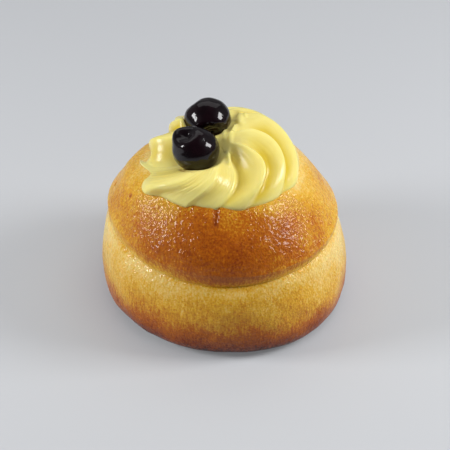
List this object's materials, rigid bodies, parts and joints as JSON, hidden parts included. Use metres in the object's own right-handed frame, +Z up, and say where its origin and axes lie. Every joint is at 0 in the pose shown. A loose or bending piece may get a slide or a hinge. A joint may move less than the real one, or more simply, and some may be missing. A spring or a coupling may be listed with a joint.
{
  "type": "savarin",
  "caption": "Small round savarin: a syrup-soaked yeast cake with a moulded brown crown over a pale belly, topped with a star-piped custard rosette and dark syrup cherries.",
  "frame": {"origin": "Centre of the flat base, on the surface the cake stands on.", "axes": "+Z is up out of the custard; -Y is the side the cherries lean to, seen in front; +X is to the right of that view."},
  "size_m": [0.088, 0.088, 0.0761],
  "materials": {
    "soaked_cake": "fine-pored golden-brown crumb, moist and syrupy, paler below the crease",
    "custard": "smooth soft gloss, slightly translucent pale yellow",
    "cherry": "wet syrup gloss on near-black purple skin"
  },
  "bodies": {
    "root": {"savarin_cake": "soaked_cake", "custard_swirl": "custard", "cherry_front": "cherry", "cherry_back": "cherry"}
  },
  "joints": []
}
